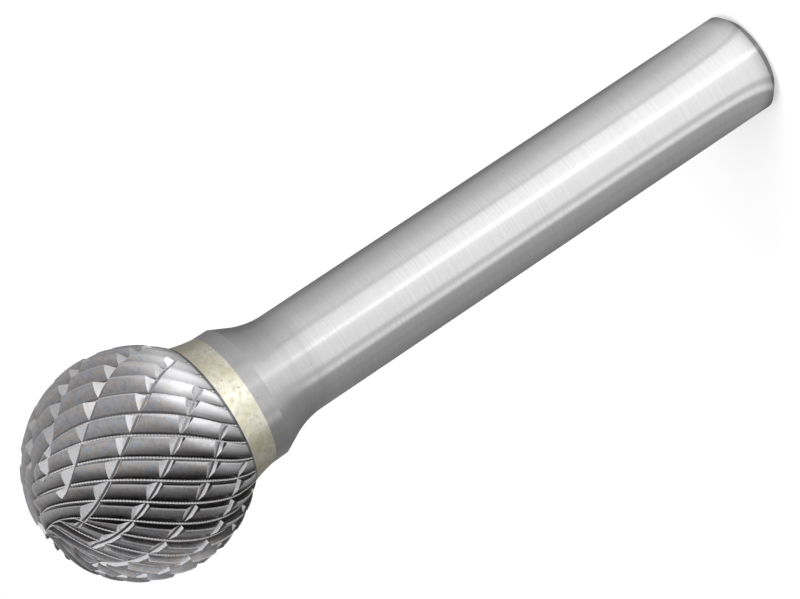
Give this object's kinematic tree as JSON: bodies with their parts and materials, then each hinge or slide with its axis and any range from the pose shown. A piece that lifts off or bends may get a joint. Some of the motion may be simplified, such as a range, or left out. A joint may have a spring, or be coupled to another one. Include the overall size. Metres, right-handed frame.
{
  "type": "rotary burr",
  "caption": "Ball-shaped double-cut carbide rotary burr with helical saw teeth and chipbreaker grooves, brazed to the flared collar of a plain round steel shank.",
  "frame": {"origin": "centre of the shank's flat end face", "axes": "+Z along the shank's axis towards the tip of the ball head; +X and +Y across the shank"},
  "size_m": [0.0126, 0.0126, 0.049],
  "materials": {
    "carbide": "ground tungsten carbide, mid grey, satin, with bright tooth edges",
    "braze": "pale gold braze alloy, satin, slightly pitted",
    "shank_steel": "fine turned and ground steel, satin"
  },
  "bodies": {
    "root": {"cutting_head": "carbide", "braze_ring": "braze", "shank": "shank_steel"}
  },
  "joints": []
}
